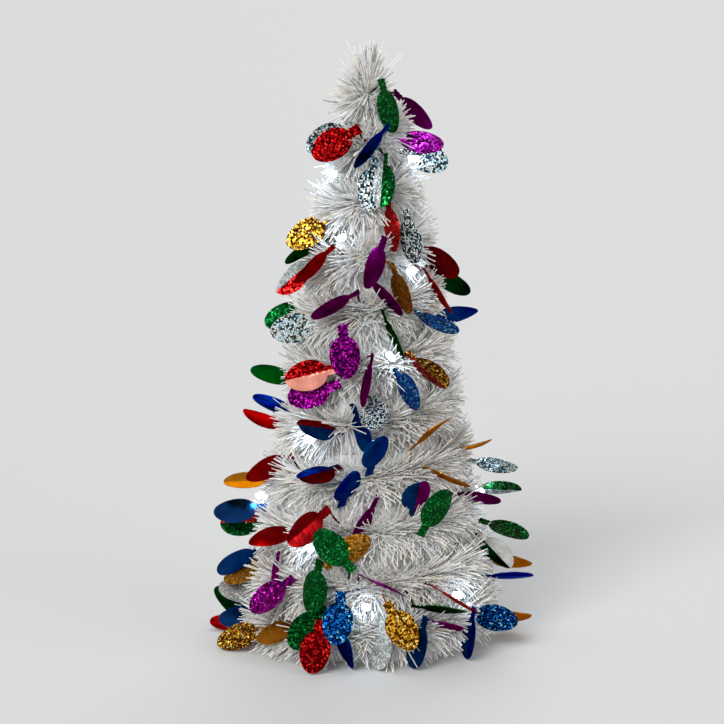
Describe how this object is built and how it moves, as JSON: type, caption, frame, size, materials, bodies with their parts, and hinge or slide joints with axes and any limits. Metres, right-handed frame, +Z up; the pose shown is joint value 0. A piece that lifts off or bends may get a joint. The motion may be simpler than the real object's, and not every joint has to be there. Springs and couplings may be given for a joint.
{
  "type": "lighted tinsel tree",
  "caption": "Tabletop tree of spiral-wound white tinsel garland dressed with foil bulbs and small lamps, on a round battery base with a hinged door and a slide switch.",
  "frame": {"origin": "centre of the base on the table", "axes": "+Z up along the tree's axis, the front faces -Y, +X to the right seen from the front"},
  "size_m": [0.2551, 0.217, 0.4545],
  "materials": {
    "shell_plastic": "fine moulded texture",
    "cover_plastic": "fine moulded texture",
    "knob_plastic": "moulded",
    "cell_wrap": "plain shrink sleeve over steel",
    "steel": "bright nickel plate",
    "board_green": "solder mask",
    "chip_black": "moulded epoxy",
    "grommet_rubber": "smooth",
    "foam_white": "expanded bead foam",
    "tinsel_white": "thin slit film, slightly translucent",
    "lead_plastic": "soft vinyl",
    "lens_white": "clear moulded, lit cool white",
    "foil_red": "metallised film with a dotted prism pattern",
    "foil_green": "metallised film with a dotted prism pattern",
    "foil_blue": "metallised film with a dotted prism pattern",
    "foil_purple": "metallised film with a dotted prism pattern",
    "foil_gold": "metallised film with a dotted prism pattern",
    "foil_silver": "metallised film with a dotted prism pattern"
  },
  "bodies": {
    "tree": {"base_shell": "shell_plastic", "base_cover": "cover_plastic", "cover_screws": "steel", "battery_1": "cell_wrap", "battery_2": "cell_wrap", "battery_3": "cell_wrap", "battery_springs": "steel", "contact_plates": "steel", "driver_board": "board_green", "timer_chip": "chip_black", "switch_body": "knob_plastic", "wire_grommet": "grommet_rubber", "foam_cone": "foam_white", "leader_pin": "steel", "garland": "tinsel_white", "garland_pins": "steel", "led_wire": "lead_plastic", "led_holders": "lead_plastic", "led_lenses": "lens_white", "bulbs_red": "foil_red", "bulbs_green": "foil_green", "bulbs_blue": "foil_blue", "bulbs_purple": "foil_purple", "bulbs_gold": "foil_gold", "bulbs_silver": "foil_silver"},
    "door": {"battery_door": "cover_plastic"},
    "switch": {"switch_knob": "knob_plastic"}
  },
  "joints": [
    {"name": "battery_door_hinge", "type": "hinge", "parent": "tree", "child": "door", "pos_m": [0, 0.0269, 0.0027], "axis": [1, 0, 0], "range_deg": [0, 90]},
    {"name": "switch_slide", "type": "slide", "parent": "tree", "child": "switch", "axis": [1, 0, 0], "range_m": [0, 0.005]}
  ]
}
